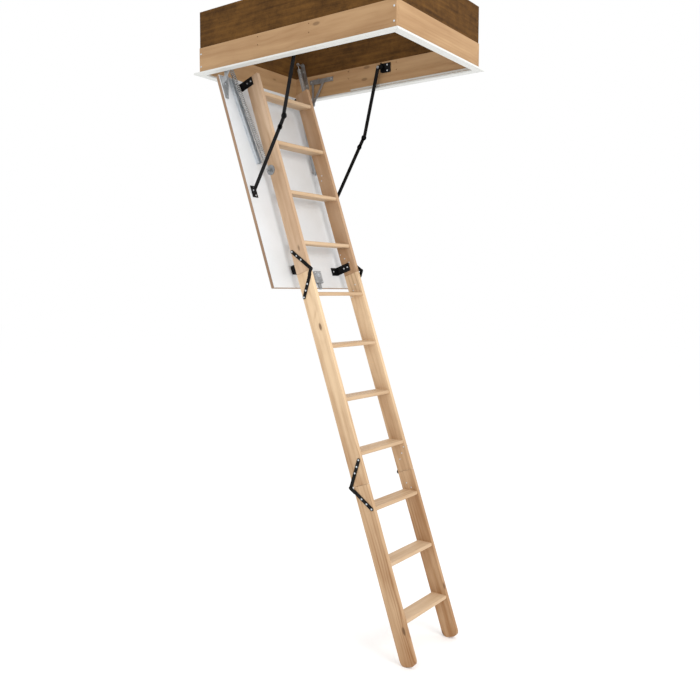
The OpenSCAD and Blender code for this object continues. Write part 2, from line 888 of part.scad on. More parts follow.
// A leaf on the outer face of a string. The inner leaf lies flat and carries the
// rivet; the outer leaf steps over it at the pin.
module leaf(c, along, into, outer) {
  dir = [along * cos(leaf_angle), into * sin(leaf_angle)];
  step_y = string_out + leaf_t + eye_gap;
  difference() {
    union() {
      if (outer) {
        upright(string_out, leaf_t) bar(c + 26 * dir, c + (leaf_length - leaf_w / 2) * dir, leaf_w);
        upright(step_y, leaf_t) bar(c, c + 26 * dir, leaf_w);
        upright(string_out, leaf_t + eye_gap + touch)
          bar(c + 26 * dir, c + 27 * dir, leaf_w);
      } else
        upright(string_out, leaf_t) bar(c, c + (leaf_length - leaf_w / 2) * dir, leaf_w);
    }
    rod_y(c, outer ? pin_r + run : pin_r, string_out - 1, step_y + leaf_t + 1);
    for (s = leaf_screw_places(c, along, into))
      rod_y(s, screw_hole_r, string_out - 1, string_out + leaf_t + 1);
  }
}
module rivet(c) {
  top = string_out + 2 * leaf_t + 2 * eye_gap;
  rod_y(c, pin_r, string_out, top);
  rod_y(c, rivet_head_r, string_out - rivet_head_h, string_out);
  rod_y(c, rivet_head_r, top, top + rivet_head_h);
}
module upper_hinge_top_leaves() {
  color("black")
    on_hatch() pair() { leaf(pin_a, -1, -1, false); rivet(pin_a); }
}
module upper_hinge_lower_leaves() {
  color("black") on_hatch() pair() leaf(pin_a, 1, -1, true);
}
module lower_hinge_top_leaves() {
  color("black")
    on_hatch() pair() { leaf(pin_b, -1, 1, false); rivet(pin_b); }
}
module lower_hinge_lower_leaves() {
  color("black") on_hatch() pair() leaf(pin_b, 1, 1, true);
}

module hatch_screws() {
  face = hatch_top + plate_t;
  color("silver")
    on_hatch()
      pair() {
        for (c = plate_screws())
          screw_z(c[0], c[1], face, 12);
        for (c = channel_screws())
          screw_z(c[0], c[1], hatch_top + channel_wall, 11);
        for (c = top_string_screws())
          screw_y(c, string_out + leaf_t, 15);
        for (q = standoff_screw_q()) {
          screw_y([top_standoff_screw()[0], q], string_out + plate_t, 15);
          screw_out([bottom_standoff_screw()[0], q], string_in - plate_t);
        }
      }
}
// A screw through the foot bracket into the inner face of a string
module screw_out(c, face) {
  rod_y(c, head_r, face - head_h, face);
  rod_y(c, screw_r, face - head_h / 2, face + 15);
}
module middle_screws() {
  color("silver")
    on_hatch()
      pair()
        for (c = middle_string_screws()) screw_y(c, string_out + leaf_t, 15);
}
module bottom_screws() {
  color("silver")
    on_hatch()
      pair()
        for (c = bottom_string_screws()) screw_y(c, string_out + leaf_t, 15);
}

casing_left_board();
casing_right_board();
casing_hinge_board();
casing_front_board();
trim_left();
trim_right();
trim_hinge_end();
trim_front();
surround_boards();
casing_seal();
frame_screws();
hinge_plates();
spring_posts();
arm_frame_brackets();
frame_pivot_pins();
strike_plate();
swing_levers();
hatch_upper_skin();
hatch_lower_skin();
hatch_long_rails();
hatch_short_rails();
hatch_insulation();
hatch_hinge_plates();
spring_channels();
top_standoffs();
bottom_standoffs();
arm_hatch_brackets();
hatch_pivot_pins();
spring_anchors();
lock_case();
lock_rosette();
lock_spindle();
lock_bolt();
springs();
upper_elbow_arms();
lower_elbow_arms();
top_left_string();
top_right_string();
tread_1();
tread_2();
tread_3();
tread_4();
middle_left_string();
middle_right_string();
tread_5();
tread_6();
tread_7();
tread_8();
bottom_left_string();
bottom_right_string();
tread_9();
tread_10();
tread_11();
upper_hinge_top_leaves();
upper_hinge_lower_leaves();
lower_hinge_top_leaves();
lower_hinge_lower_leaves();
hatch_screws();
middle_screws();
bottom_screws();
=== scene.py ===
# %% [markdown]
# # A folding attic ladder
# This notebook builds the looks of an attic ladder round a fixed mechanical frame: a lined ceiling
# opening, a hatch that swings down on two levers, and a timber ladder in three sections.
# The frame holds every size and joint. Each cell adds one kind of piece or one finish.

# %% Load the frame
import json
from math import atan2, cos, pi, radians, sin, tau
import bpy
from mathutils import Euler, Matrix, Vector


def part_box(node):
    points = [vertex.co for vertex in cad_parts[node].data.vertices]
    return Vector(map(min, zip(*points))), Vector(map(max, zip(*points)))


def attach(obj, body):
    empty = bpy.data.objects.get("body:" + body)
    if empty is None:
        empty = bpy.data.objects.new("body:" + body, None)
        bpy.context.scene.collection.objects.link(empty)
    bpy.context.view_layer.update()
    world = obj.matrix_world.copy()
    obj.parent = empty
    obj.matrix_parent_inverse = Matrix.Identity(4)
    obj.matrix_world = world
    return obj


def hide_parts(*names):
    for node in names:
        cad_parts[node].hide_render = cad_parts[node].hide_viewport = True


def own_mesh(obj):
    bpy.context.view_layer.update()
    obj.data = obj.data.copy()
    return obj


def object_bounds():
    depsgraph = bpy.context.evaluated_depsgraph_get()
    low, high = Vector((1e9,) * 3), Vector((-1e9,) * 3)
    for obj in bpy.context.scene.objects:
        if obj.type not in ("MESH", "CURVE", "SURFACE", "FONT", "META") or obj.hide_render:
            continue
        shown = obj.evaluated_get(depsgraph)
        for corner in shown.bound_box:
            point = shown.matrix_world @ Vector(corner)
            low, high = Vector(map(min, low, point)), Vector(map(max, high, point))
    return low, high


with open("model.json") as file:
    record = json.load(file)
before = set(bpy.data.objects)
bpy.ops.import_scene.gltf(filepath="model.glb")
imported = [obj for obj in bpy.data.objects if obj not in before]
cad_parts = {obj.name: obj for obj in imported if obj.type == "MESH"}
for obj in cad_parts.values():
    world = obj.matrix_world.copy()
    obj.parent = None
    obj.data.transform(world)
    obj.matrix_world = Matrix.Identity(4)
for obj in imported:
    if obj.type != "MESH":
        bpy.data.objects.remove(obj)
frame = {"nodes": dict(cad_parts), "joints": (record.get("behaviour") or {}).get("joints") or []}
cad_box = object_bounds()
nodes = frame["nodes"]
joints = {joint["name"]: joint for joint in frame["joints"]}
print("nodes:", len(nodes), "joints:", len(joints))

# %% [markdown]
# The ladder hangs at a slant, so its pieces are easier to draw in a frame of their own. X runs down
# the ladder from the hatch pivot, Y runs across it and Z comes out of its front. One matrix then
# takes a finished piece from that frame to its place.

# %% The ladder's own frame
pivot = Vector(joints["hatch_turn"]["pos_m"])
down = Vector(joints["bolt_slide"]["axis"])
front = Vector(joints["lock_turn"]["axis"])
on_ladder = Matrix((down, (0, 1, 0), front)).transposed().to_4x4()
on_ladder.translation = pivot
slant = atan2(-down.z, down.x)
print("the ladder leans at", round(slant * 180 / pi, 1), "degrees")


def ladder_place(point):
    """A point of the row frame, as (down, across, front)."""
    return on_ladder.inverted() @ Vector(point)


# %% [markdown]
# A finish is a small net of shader nodes. Written link by link it is hard to read, so one class
# wraps a socket and lets Python calculate with it: each sign adds a Math node.

# %% Sockets that calculate
class Value:
    """A number that varies over a surface."""

    def __init__(self, paint, socket):
        self.paint = paint
        self.socket = socket

    def math(self, operation, *terms):
        return self.paint.node("Math", {"operation": operation}, dict(enumerate(terms)))

    def __add__(self, other):
        return self.math("ADD", self, other)

    def __sub__(self, other):
        return self.math("SUBTRACT", self, other)

    def __rsub__(self, other):
        return self.math("SUBTRACT", other, self)

    def __mul__(self, other):
        return self.math("MULTIPLY", self, other)

    def __truediv__(self, other):
        return self.math("DIVIDE", self, other)

    def __pow__(self, other):
        return self.math("POWER", self, other)

    __radd__ = __add__
    __rmul__ = __mul__

    def sine(self):
        return self.math("SINE", self)

    def ramp(self, low, high):
        """0 below low, 1 above high, and a smooth step between; low may be the larger."""
        flip = low > high
        ends = sorted((low, high))
        step = self.paint.node(
            "MapRange",
            {"interpolation_type": "SMOOTHSTEP"},
            {"Value": self, "From Min": ends[0], "From Max": ends[1]},
        )
        return 1 - step if flip else step


# %% [markdown]
# The second class holds a new material. Its method feed sets or links the inputs of the standard
# shader, and node adds any other node: its settings come first, then the values or links of its
# inputs. The rest are short names for nodes that come up often.

# %% A material to paint with
class Paint:
    """A material on the standard shader."""

    def __init__(self, name, **finish):
        self.material = bpy.data.materials.new(name)
        self.material.use_nodes = True
        self.tree = self.material.node_tree
        self.shader = self.tree.nodes["Principled BSDF"]
        self.feed(**finish)

    def put(self, socket, value):
        if isinstance(value, Value):
            self.tree.links.new(value.socket, socket)
        elif value is not None:
            socket.default_value = value

    def node(self, kind, settings=None, inputs=None, out=0):
        node = self.tree.nodes.new("ShaderNode" + kind)
        for name, value in (settings or {}).items():
            setattr(node, name, value)
        for name, value in (inputs or {}).items():
            self.put(node.inputs[name], value)
        return Value(self, node.outputs[out])

    def feed(self, **finish):
        for name, value in finish.items():
            self.put(self.shader.inputs[name.replace("_", " ")], value)

    def place(self):
        return self.node("TexCoord", out="Object")

    def noise(self, vector, scale, detail=3.0, rough=0.55):
        return self.node(
            "TexNoise", {}, {"Vector": vector, "Scale": scale, "Detail": detail, "Roughness": rough}
        )

    def stretch(self, vector, amounts):
        return self.node("VectorMath", {"operation": "MULTIPLY"}, {0: vector, 1: amounts})

    def part(self, vector, axis):
        """One coordinate of a vector: 0 for X, 1 for Y, 2 for Z."""
        return self.node("SeparateXYZ", {}, {0: vector}, out=axis)

    def blend(self, share, first, second):
        """The first colour where share is 0, the second where it is 1."""
        node = self.tree.nodes.new("ShaderNodeMix")
        node.data_type = "RGBA"
        for place, value in ((0, share), (6, first), (7, second)):
            self.put(node.inputs[place], value)
        return Value(self, node.outputs[2])

    def bump(self, height, depth, strength=1.0):
        relief = {"Height": height, "Distance": depth, "Strength": strength}
        self.feed(Normal=self.node("Bump", {}, relief))


def tint(red, green, blue):
    """A screen colour, 0 to 255 a channel, as the shader's linear colour."""
    channels = (red, green, blue)
    linear = [((c / 255 + 0.055) / 1.055) ** 2.4 if c > 10 else c / 3295 for c in channels]
    return (*linear, 1.0)


# %% [markdown]
# Timber is the main finish. A board is cut from a trunk, so its figure is a set of rings round a
# heart line that lies outside the board, drawn out along the grain. Fine fibres and broad streaks
# of colour lie over that, and a few knots push the rings aside. The same recipe with other
# colours and grain directions serves the strings, the treads and the casing.

# %% Timber
def timber(name, pale, deep, turn, seed, ring=0.014, figure=1.0, knots=1.0, rough=0.55, tone_and_shade=0.0,
           painted_light_rise=0.0):
    """The last argument paints light from above: the board grows paler from its low end to its high
    one, a metre at a time.
    """
    paint = Paint(name)
    spot = paint.place()
    laid = {"Vector": spot, "Rotation": Euler(turn), "Location": Vector(seed)}
    along = paint.node("Mapping", {}, laid)
    cell = {"Vector": paint.stretch(along, (4.5, 11, 11)), "Scale": 1.0}
    eyes = paint.node("TexVoronoi", {}, cell)
    knot = eyes.ramp(0.11, 0.06) * knots
    push = eyes.ramp(0.45, 0.05) * (0.012 * knots)
    wander = paint.noise(paint.stretch(along, (1.1, 4.0, 4.0)), 1.0, 3.0)
    across, deep_in = (paint.part(along, i) for i in (1, 2))
    heart_side = across + wander * 0.09 + push
    heart_in = deep_in + wander * 0.05 + 0.06
    radius = (heart_side * heart_side + heart_in * heart_in) ** 0.5
    late = ((radius * (tau / ring)).sine() * 0.5 + 0.5) ** 3.0
    presence = paint.noise(paint.stretch(along, (1.7, 9, 9)), 1.0, 2.0).ramp(0.35, 0.75)
    streak = paint.noise(paint.stretch(along, (1.3, 34, 34)), 1.0, 4.0)
    fibre = paint.noise(paint.stretch(along, (18, 800, 800)), 1.0, 2.0)
    cloud = paint.noise(paint.stretch(along, (3.0, 8, 8)), 1.0, 3.0)
    share = streak * 0.9 + fibre * 0.3 + cloud * 0.7 - late * presence * (0.30 * figure)
    # painted light: the height term makes the board paler the higher the point, for light falling
    # from above; the tone term adds painted shade where a board is set darker for the light it gets
    share = share + (tone_and_shade - 0.42) + paint.part(spot, 2) * painted_light_rise
    wood = paint.blend(share.ramp(-0.1, 1.1), deep, pale)
    heart = tuple(channel * 0.4 for channel in deep[:3]) + (1.0,)
    paint.feed(Base_Color=paint.blend(knot * 0.8, wood, heart))
    paint.feed(Roughness=fibre * 0.2 + (rough - 0.1), Specular_IOR_Level=0.3)
    paint.bump(fibre * 0.7 - late * presence * 0.3 - knot * 0.3, 0.0004, 0.5)
    return paint.material


down_grain = (0, -slant, 0)
cross_grain = (0, 0, -pi / 2)
long_grain = (0, 0, 0)
string_tints = {
    "top": (tint(222, 196, 168), tint(172, 136, 102)),
    "middle": (tint(226, 197, 160), tint(140, 95, 52)),
    "bottom": (tint(226, 197, 160), tint(140, 95, 52)),
}
# Each string's seed, tone and rise. The top right string has a far lower tone than the top left
# one: painted shade on its inner face. The rise of the middle and bottom strings is painted light
# from above: paler the higher they hang.
string_plan = {
    "top_right": ((0.3, 0.2, 0.1), -0.40, 0.0),
    "top_left": ((1.7, 0.9, 0.35), -0.10, 0.0),
    "middle_right": ((3.1, 0.4, 0.7), 0.56, 0.32),
    "middle_left": ((4.9, 1.3, 0.2), 0.66, 0.32),
    "bottom_right": ((6.3, 0.1, 0.9), 0.54, 0.34),
    "bottom_left": ((8.2, 0.6, 1.4), 0.66, 0.34),
}
string_finish = {
    place: timber("pine_" + place, *string_tints[place.split("_")[0]], down_grain, seed,
                  tone_and_shade=tone_and_shade, painted_light_rise=painted_light_rise)
    for place, (seed, tone_and_shade, painted_light_rise) in string_plan.items()
}
# painted shade: each tread lower down the ladder gets a lower tone and so a darker colour, for the
# light from above falling off
tread_finish = [
    timber(
        "pine_tread_" + str(k + 1), tint(214, 188, 156), tint(176, 142, 106), cross_grain,
        (0.37 * k + 0.2, 0.21 * k, 0.53 * k), ring=0.01, knots=0.5, tone_and_shade=0.05 - 0.012 * k,
    )
    for k in range(11)
]
board_pale, board_deep = tint(190, 155, 114), tint(146, 108, 70)
lining_long = timber("lining_long", board_pale, board_deep, long_grain, (0.2, 1.1, 0.3),
                     figure=0.5, knots=0.7)
lining_short = timber("lining_short", board_pale, board_deep, cross_grain, (1.2, 0.7, 0.9),
                      figure=0.5, knots=0.7)
edge_wood = timber("hatch_edge", tint(176, 146, 118), tint(126, 98, 76), down_grain, (2, 2, 1),
                   figure=0.4)
print("timber finishes:", len(string_finish) + len(tread_finish) + 3)

# %% [markdown]
# The surround above the lining is rough-sawn board: patches of brown with long streaks along the
# saw cut. Its darkness is partly painted shade for the shadow it lies in above the lining, so it
# is painted nearly black in places. Two sizes of noise give the patches, and a drawn-out one the
# streaks.

# %% Dark surround board, its darkness partly painted shade
surround = Paint("surround_board", Specular_IOR_Level=0.15)
spot = surround.place()
patches = surround.noise(surround.stretch(spot, (5, 5, 9)), 1.0, 5.0, 0.7)
blotches = surround.noise(spot, 26.0, 4.0, 0.7)
streaks = surround.noise(surround.stretch(spot, (3, 3, 70)), 1.0, 4.0, 0.65)
flakes = surround.noise(spot, 220.0, 2.0)
# painted shade: the mix runs from nearly black to mid brown, the board's own mottled brown darkened
# for the shadow above the lining
mottle_and_shade = patches * 0.8 + blotches * 0.5 + streaks * 0.75 + flakes * 0.2 - 0.70
surround.feed(
    Base_Color=surround.blend(mottle_and_shade.ramp(-0.15, 1.1), tint(40, 21, 5), tint(122, 84, 38)),
    Roughness=flakes * 0.2 + 0.75,
)
surround.bump(flakes * 0.6 + streaks * 0.8, 0.001, 0.6)
print("made", surround.material.name)

# %% [markdown]
# The metal parts are zinc plated or black. Zinc plate has a faint spangle and dull patches where
# it was handled. It comes in a bright and a darker grade, both slightly blue, and in a neutral
# grey one with a finer grain for the springs. The black parts are powder coated: dark, half matt,
# with a fine orange-peel texture.

# %% Metals
def zinc(name, light, dull, grain=520.0):
    paint = Paint(name, Metallic=0.85, Specular_IOR_Level=0.5)
    spot = paint.place()
    spangle = paint.node("TexVoronoi", {}, {"Vector": spot, "Scale": 160.0}, out="Color")
    grey = paint.node("RGBToBW", {}, {0: spangle})
    cloud = paint.noise(spot, 24.0, 3.0)
    fine = paint.noise(spot, grain, 2.0)
    paint.feed(
        Base_Color=paint.blend((grey * 0.2 + cloud * 0.6 + 0.08).ramp(0.0, 1.0), dull, light),
        Roughness=cloud * 0.25 + grey * 0.08 + 0.26,
    )
    paint.bump(fine * 0.5 + grey * 0.3, 0.0002, 0.4)
    return paint.material


zinc_bright = zinc("zinc_bright", tint(236, 239, 242), tint(176, 184, 190))
zinc_plate = zinc("zinc_plate", tint(196, 198, 200), tint(120, 122, 124))
spring_wire = zinc("spring_steel", tint(206, 206, 204), tint(118, 119, 120), 800.0)

black_coat = Paint("black_coat", Metallic=0.0, Specular_IOR_Level=0.12)
peel = black_coat.noise(black_coat.place(), 900.0, 2.0)
rub = black_coat.noise(black_coat.place(), 30.0, 4.0)
black_coat.feed(
    Base_Color=black_coat.blend(rub.ramp(0.35, 0.75), tint(9, 9, 10), tint(24, 23, 23)),
    Roughness=rub * 0.2 + 0.38,
)
black_coat.bump(peel, 0.00015, 0.5)
print("metals:", ", ".join(m.name for m in (zinc_bright, zinc_plate, spring_wire)),
      black_coat.material.name)

# %% [markdown]
# The trim and the two faces of the hatch are painted or foil-covered board. Such a face is never
# one flat colour: it carries a very faint cloud, a fine grain from the roller, and a little dirt.

# %% Painted faces, foam and seal
def painted(name, clean, worn, rough, peel_depth=0.00012):
    paint = Paint(name, Specular_IOR_Level=0.4)
    spot = paint.place()
    cloud = paint.noise(spot, 3.5, 4.0)
    specks = paint.noise(spot, 90.0, 3.0, 0.7)
    roller = paint.noise(spot, 420.0, 2.0)
    share = cloud.ramp(0.38, 0.8) * 0.55 + specks.ramp(0.62, 0.8) * 0.5
    paint.feed(Base_Color=paint.blend(share, clean, worn), Roughness=cloud * 0.14 + (rough - 0.07))
    paint.bump(roller, peel_depth, 0.6)
    return paint.material


trim_white = painted("trim_white", tint(216, 217, 214), tint(198, 199, 193), 0.42)
panel_grey = painted("panel_upper", tint(217, 219, 221), tint(204, 205, 203), 0.5)
panel_white = painted("panel_lower", tint(222, 223, 222), tint(208, 209, 206), 0.4)
foam = painted("foam_board", tint(228, 222, 200), tint(206, 198, 172), 0.9, 0.001)

seal_foam = Paint("seal_foam", Specular_IOR_Level=0.25)
cells = seal_foam.noise(seal_foam.place(), 600.0, 2.0)
seal_foam.feed(
    Base_Color=seal_foam.blend(cells, tint(176, 174, 168), tint(208, 206, 200)),
    Roughness=cells * 0.2 + 0.7,
)
seal_foam.bump(cells, 0.0005, 0.7)
print("painted faces:", ", ".join(m.name for m in (trim_white, panel_grey, panel_white, foam)))

# %% [markdown]
# The first hand tools start from a box, choose points, edges or faces by their place and run one
# edit-mode operator there, apply a modifier, and mend a mesh. An operator works on everything that
# is selected, so each tool first clears the selection.

# %% Hand tools for shaping
def alone(obj):
    bpy.ops.object.select_all(action="DESELECT")
    obj.select_set(True)
    bpy.context.view_layer.objects.active = obj
    return obj


def baked():
    """The new primitive, with its place and size moved into its mesh."""
    bpy.ops.object.transform_apply(location=True, rotation=True, scale=True)
    return bpy.context.object


def box(name, low, high):
    low, high = Vector(low), Vector(high)
    bpy.ops.object.select_all(action="DESELECT")
    bpy.ops.mesh.primitive_cube_add(size=1, location=(low + high) / 2)
    obj = bpy.context.object
    obj.name = name
    obj.scale = high - low
    return baked()


def shape(obj, kind, test, operator, **settings):
    """Selects the points, edges or faces that pass test(place, direction or normal), edits them."""
    alone(obj)
    mesh = obj.data
    mesh.vertices.foreach_set("select", [False] * len(mesh.vertices))
    mesh.edges.foreach_set("select", [False] * len(mesh.edges))
    mesh.polygons.foreach_set("select", [False] * len(mesh.polygons))
    if kind == "EDGE":
        for edge in mesh.edges:
            a, b = (mesh.vertices[i].co for i in edge.vertices)
            edge.select = bool(test((a + b) / 2, (b - a).normalized()))
    elif kind == "FACE":
        for face in mesh.polygons:
            face.select = bool(test(face.center, face.normal))
    else:
        for vertex in mesh.vertices:
            vertex.select = bool(test(vertex.co, vertex.normal))
    bpy.context.tool_settings.mesh_select_mode = [kind == k for k in ("VERT", "EDGE", "FACE")]
    bpy.ops.object.mode_set(mode="EDIT")
    operator(**settings)
    bpy.ops.object.mode_set(mode="OBJECT")
    return obj


def modify(obj, kind, **settings):
    alone(obj)
    modifier = obj.modifiers.new(kind.lower(), kind)
    for name, value in settings.items():
        setattr(modifier, name, value)
    bpy.ops.object.modifier_apply(modifier=modifier.name)
    return obj


merge_distance = 1e-6


def mended(obj):
    """Merges doubled points and turns every face outwards."""
    alone(obj)
    bpy.ops.object.mode_set(mode="EDIT")
    bpy.ops.mesh.select_all(action="SELECT")
    bpy.ops.mesh.remove_doubles(threshold=merge_distance)
    bpy.ops.mesh.normals_make_consistent(inside=False)
    bpy.ops.object.mode_set(mode="OBJECT")
    return obj


# %% [markdown]
# The second set puts pieces together: mirror one to the other side, join several, copy one with
# its own mesh, hang it on the ladder, and settle it. To settle a piece is to smooth it, to give it
# its finish, to hang it on the body it rides on, and to hide the frame nodes it stands for.

# %% Hand tools for assembly
def both_sides(obj):
    return mended(modify(obj, "MIRROR", use_axis=(False, True, False), use_mirror_merge=False))


def join(name, pieces):
    bpy.ops.object.select_all(action="DESELECT")
    for piece in pieces:
        piece.select_set(True)
    bpy.context.view_layer.objects.active = pieces[0]
    if len(pieces) > 1:
        bpy.ops.object.join()
    pieces[0].name = name
    return pieces[0]


def twin(obj, matrix):
    """A copy with a mesh of its own, moved by a matrix."""
    other = obj.copy()
    other.data = obj.data.copy()
    bpy.context.scene.collection.objects.link(other)
    other.data.transform(matrix)
    return other


def hang(obj):
    """Moves a piece from the ladder's frame to its place."""
    alone(obj)
    obj.matrix_world = on_ladder
    return baked()


def settle(obj, body, finish, slot, *replaced, smooth=35, flat_faces=True):
    """Smooths a finished piece, keeps its flat faces flat, gives it its finish, hangs it on its
    body and hides the frame nodes it replaces.
    """
    alone(obj)
    bpy.ops.object.shade_smooth_by_angle(angle=radians(smooth))
    if flat_faces:
        modify(obj, "WEIGHTED_NORMAL", keep_sharp=True)
    obj.data.materials.clear()
    obj.data.materials.append(finish)
    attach(obj, body)
    if replaced:
        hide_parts(*replaced)
    print(obj.name, "has", len(obj.data.polygons), "faces and rides on", body)
    return obj


# %% [markdown]
# A string is one of the ladder's two long side boards. Each section has a pair. A board starts as
# a box between the corners that the frame gives, and its long edges are rounded, as a planer
# leaves them. At the foot the two corners are cut round. The frame's strings stand at a slant, so
# their corners are read in the ladder's frame.

# %% Strings
def slanted_box(node):
    corners = [ladder_place(v.co) for v in nodes[node].data.vertices]
    low = Vector(min(c[i] for c in corners) for i in range(3))
    high = Vector(max(c[i] for c in corners) for i in range(3))
    return low, high


planed_edge, sawn_edge, foot_radius = 0.002, 0.0004, 0.026


def string_board(name, node, radius):
    low, high = slanted_box(node)
    board = box(name, low, high)
    at_foot = lambda middle, way: abs(way.y) > 0.9 and middle.x > high.x - 0.001
    lengthwise = lambda middle, way: abs(way.x) > 0.9 and abs(middle.y) > 0.1
    crosswise = lambda middle, way: abs(way.x) < 0.1
    if radius:
        shape(board, "EDGE", at_foot, bpy.ops.mesh.bevel, offset=radius, segments=10)
    shape(board, "EDGE", lengthwise, bpy.ops.mesh.bevel, offset=planed_edge, segments=3)
    if not radius:
        shape(board, "EDGE", crosswise, bpy.ops.mesh.bevel, offset=sawn_edge, segments=1)
    return hang(board)


sections = [("top", "hatch"), ("middle", "middle_section"), ("bottom", "bottom_section")]
for section, body in sections:
    for side in ("right", "left"):
        cad = section + "_" + side + "_string"
        radius = foot_radius if section == "bottom" else 0.0
        board = string_board("board_" + cad, cad, radius)
        settle(board, body, string_finish[section + "_" + side], "ladder_wood", cad)

# %% [markdown]
# A tread lies level when the ladder is open. Its front edge is rounded more than its back, so
# that it is kind to the foot, and it is let into both strings. All the treads are the same board,
# so one is shaped and copied down the ladder, each copy with a mesh of its own.

# %% Treads
tenon, let_in, nose_radius, back_radius = 0.008, 0.0005, 0.006, 0.002


def tread_board():
    """The visible board: the tenons hidden in the strings are left off, but for let_in."""
    low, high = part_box("tread_1")
    hidden = Vector((0, tenon - let_in, 0))
    low, high = low + hidden, high - hidden
    board = box("tread_board_1", low, high)
    nose = lambda middle, way: abs(way.y) > 0.9 and middle.x > high.x - 0.001
    back = lambda middle, way: abs(way.y) > 0.9 and middle.x < low.x + 0.001
    shape(board, "EDGE", nose, bpy.ops.mesh.bevel, offset=nose_radius, segments=5)
    shape(board, "EDGE", back, bpy.ops.mesh.bevel, offset=back_radius, segments=2)
    return board


first_tread = tread_board()
first_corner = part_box("tread_1")[0]
treads = [first_tread]
for k in range(2, 12):
    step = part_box("tread_" + str(k))[0] - first_corner
    copy = twin(first_tread, Matrix.Translation(step))
    copy.name = "tread_board_" + str(k)
    treads.append(copy)
for k, board in enumerate(treads):
    body = sections[0 if k < 4 else 1 if k < 8 else 2][1]
    settle(board, body, tread_finish[k], "ladder_wood", "tread_" + str(k + 1))

# %% [markdown]
# Flat steel bars with round ends come up again and again here: hinge leaves, elbow arms. One is
# made from a low cylinder. Half of its points are pushed away by the bar's length, its face is
# inset and pressed in a little, and the rims are rounded.

# %% Round-ended bar
def bar(name, start, end, width, low_y, high_y, press=0.0, rim=0.0025, round_edge=0.0006):
    """A bar in the X-Z plane between two points (x, z), from low_y to high_y."""
    run = Vector((end[0] - start[0], end[1] - start[1]))
    bpy.ops.object.select_all(action="DESELECT")
    bpy.ops.mesh.primitive_cylinder_add(vertices=32, radius=width / 2, depth=high_y - low_y)
    obj = bpy.context.object
    obj.name = name
    shape(obj, "VERT", lambda place, n: place.x > 1e-4, bpy.ops.transform.translate,
          value=(run.length, 0, 0))
    if press:
        shape(obj, "FACE", lambda m, n: abs(n.z) > 0.9, bpy.ops.mesh.inset, thickness=rim)
        for side in (1, -1):
            shape(obj, "FACE", lambda m, n: n.z * side > 0.9 and abs(m.x - run.length / 2) < 1e-3
                  and abs(m.y) < 1e-3, bpy.ops.transform.translate, value=(0, 0, -side * press))
    modify(obj, "BEVEL", width=round_edge, segments=2, limit_method="ANGLE")
    along = Vector((run.x, 0, run.y)).normalized()
    out = Vector((0, 1, 0))
    turn = Matrix((along, out.cross(along), out)).transposed().to_4x4()
    turn.translation = (start[0], (low_y + high_y) / 2, start[1])
    obj.matrix_world = turn
    alone(obj)
    return baked()


def dome(name, place, radius, low_y, high_y):
    """A rivet or boss along Y, with a rounded head on its high_y end."""
    bpy.ops.object.select_all(action="DESELECT")
    bpy.ops.mesh.primitive_cylinder_add(vertices=24, radius=radius, depth=abs(high_y - low_y),
                                        location=(place[0], (low_y + high_y) / 2, place[1]),
                                        rotation=(pi / 2, 0, 0))
    obj = baked()
    obj.name = name
    shape(obj, "EDGE", lambda m, way: abs(m.y - high_y) < 1e-6, bpy.ops.mesh.bevel,
          offset=min(abs(high_y - low_y), radius) * 0.7, segments=4)
    return obj


# %% [markdown]
# The sections are joined by V-shaped hinges on the outer faces of the strings. The pin stands
# clear of the boards, so that a folded section lies flat on the next. A leaf runs slantwise from
# the pin over the board and is held by three screws. The outer leaf steps over the inner one at
# the pin, so its inner end is a second, short bar.

# %% Section hinges
leaf_angle = radians(36.5)
leaf_screws = (0.073, 0.105, 0.138)
leaf_width, leaf_length, leaf_thick, eye_gap = 0.017, 0.1375, 0.003, 0.0003
eye_length, step_start, leaf_start = 0.0265, 0.0255, 0.026
string_out = slanted_box("top_right_string")[1].y
pin_top = ladder_place(joints["ladder_fold"]["pos_m"])
pin_low = ladder_place(joints["bottom_fold"]["pos_m"])


def leaf_point(pin, way, reach):
    return (pin.x + way[0] * reach * cos(leaf_angle), pin.z + way[1] * reach * sin(leaf_angle))


def leaf(name, pin, way, outer):
    start = leaf_point(pin, way, leaf_start if outer else 0.0)
    low, high = string_out, string_out + leaf_thick
    pieces = [bar(name, start, leaf_point(pin, way, leaf_length), leaf_width, low, high, 0.0004)]
    if outer:
        over = high + eye_gap
        eye_end = leaf_point(pin, way, eye_length)
        pieces.append(bar("eye", leaf_point(pin, way, 0.0), eye_end, leaf_width, over,
                          over + leaf_thick))
        pieces.append(bar("step", leaf_point(pin, way, step_start), eye_end,
                          leaf_width * 0.98, low + 0.0005, over + 0.001))
    else:
        head = string_out + 2 * leaf_thick + 2 * eye_gap
        pieces.append(dome("rivet", (pin.x, pin.z), 0.007, string_out - 0.002, head + 0.002))
    return hang(both_sides(join(name, pieces)))


leaf_plan = [
    ("upper_hinge_top_leaves", pin_top, (-1, -1), False, "hatch"),
    ("upper_hinge_lower_leaves", pin_top, (1, -1), True, "middle_section"),
    ("lower_hinge_top_leaves", pin_low, (-1, 1), False, "middle_section"),
    ("lower_hinge_lower_leaves", pin_low, (1, 1), True, "bottom_section"),
]
for cad, pin, way, outer, body in leaf_plan:
    settle(leaf("v_" + cad, pin, way, outer), body, black_coat.material, "black_steel", cad)

# %% [markdown]
# The hinge screws are bolts that go right through the strings, and so are those of the spring
# anchors. Their rounded ends show as bright dots on the inner faces. One is left out where a
# tread covers it.

# %% Bolt ends
string_in = slanted_box("top_right_string")[0].y
bolt_radius, bolt_height = 0.0034, 0.0016


def bolt_ends(name, places):
    ends = [dome(name, place, bolt_radius, string_in + 0.001, string_in - bolt_height)
            for place in places]
    return hang(both_sides(join(name, ends)))


